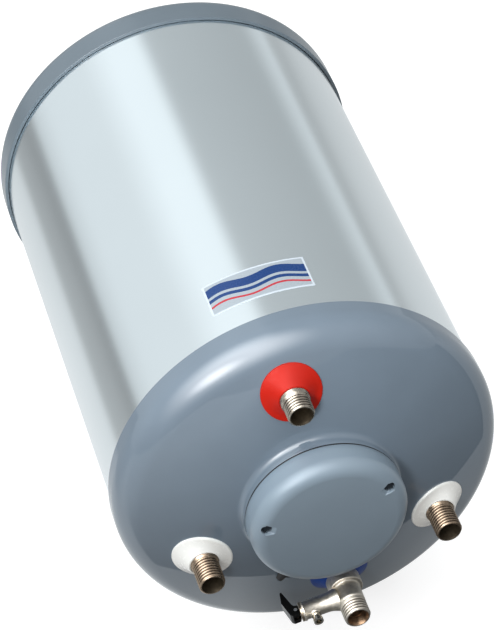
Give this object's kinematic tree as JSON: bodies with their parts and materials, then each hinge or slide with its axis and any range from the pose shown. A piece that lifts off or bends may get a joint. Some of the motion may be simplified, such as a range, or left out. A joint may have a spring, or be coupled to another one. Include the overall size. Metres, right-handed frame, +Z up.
{
  "type": "water heater",
  "caption": "Horizontal cylindrical water heater for boats and campers, steel jacket between moulded caps, threaded ports, safety valve with lever and saddle brackets.",
  "frame": {"origin": "centre of the four bracket holes, on the plane that the feet stand on", "axes": "+Z up, the jacket's axis along Y, the connection face looks along -Y"},
  "size_m": [0.306, 0.531, 0.318],
  "materials": {
    "jacket_steel": "satin stainless sheet",
    "cap_plastic": "glossy blue-grey moulding",
    "tank_steel": "pickled stainless sheet",
    "foam": "rigid insulation foam",
    "nickel_brass": "nickel-plated brass",
    "brass": "machined brass",
    "zinc_steel": "zinc-plated steel",
    "red_plastic": "red moulding",
    "blue_plastic": "blue moulding",
    "white_plastic": "white moulding",
    "dip_plastic": "natural plastic tube",
    "black_plastic": "black moulding",
    "black_rubber": "black rubber",
    "element_steel": "element sheath, bright terminals",
    "magnesium": "magnesium rod on a steel stud",
    "spring_steel": "stainless spring wire"
  },
  "bodies": {
    "heater": {"jacket": "jacket_steel", "front_cap": "cap_plastic", "rear_cap": "cap_plastic", "inner_tank": "tank_steel", "insulation_foam": "foam", "hot_outlet": "nickel_brass", "engine_outlet": "brass", "engine_inlet": "brass", "cold_inlet": "brass", "hot_collar": "red_plastic", "cold_collar": "blue_plastic", "engine_out_collar": "white_plastic", "engine_in_collar": "white_plastic", "hot_dip_tube": "dip_plastic", "cold_dip_tube": "dip_plastic", "heat_exchanger_coil": "tank_steel", "flange_seal": "black_rubber", "element_flange": "tank_steel", "flange_bolts": "zinc_steel", "heating_element": "element_steel", "thermostat_pocket": "brass", "anode_rod": "magnesium", "anode_nut": "zinc_steel", "thermostat": "black_plastic", "thermal_cutout": "black_plastic", "terminal_block": "white_plastic", "cover_seal": "black_rubber", "electrical_cover": "cap_plastic", "cover_screws": "zinc_steel", "cable_gland": "black_rubber", "valve_body": "nickel_brass", "valve_washer": "black_rubber", "check_cage": "dip_plastic", "check_guide": "dip_plastic", "check_spring": "spring_steel", "relief_spring": "spring_steel", "bonnet": "brass", "drain_nozzle": "brass", "front_bracket": "zinc_steel", "rear_bracket": "zinc_steel", "bracket_bolts": "zinc_steel"},
    "relief_stem": {"relief_plunger": "brass", "relief_disc": "black_rubber"},
    "lever": {"lever": "black_plastic", "lever_pin": "zinc_steel"},
    "check": {"check_disc": "dip_plastic"},
    "knob": {"thermostat_knob": "red_plastic"},
    "reset": {"reset_button": "red_plastic"}
  },
  "joints": [
    {"name": "relief_lift", "type": "slide", "parent": "heater", "child": "relief_stem", "axis": [-1, 0, 0], "range_m": [0, 0.0025], "stiffness_N_per_m": 300, "springref_m": -0.002, "deforming": ["relief_spring"]},
    {"name": "lever_turn", "type": "hinge", "parent": "relief_stem", "child": "lever", "pos_m": [-0.043, -0.26665, 0.081], "axis": [0, 0, 1], "range_deg": [0, 50]},
    {"name": "check_lift", "type": "slide", "parent": "heater", "child": "check", "axis": [0, 1, 0], "range_m": [0, 0.003], "stiffness_N_per_m": 30, "springref_m": -0.006, "deforming": ["check_spring"]},
    {"name": "knob_turn", "type": "hinge", "parent": "heater", "child": "knob", "pos_m": [-0.012, -0.2555, 0.183], "axis": [0, -1, 0], "range_deg": [0, 270]},
    {"name": "reset_press", "type": "slide", "parent": "heater", "child": "reset", "axis": [0, 1, 0], "range_m": [0, 0.0015], "stiffness_N_per_m": 800, "springref_m": -0.001}
  ],
  "couplings": [
    {"joint": "lever_turn", "follows": "relief_lift", "rad_per_m": 349}
  ]
}
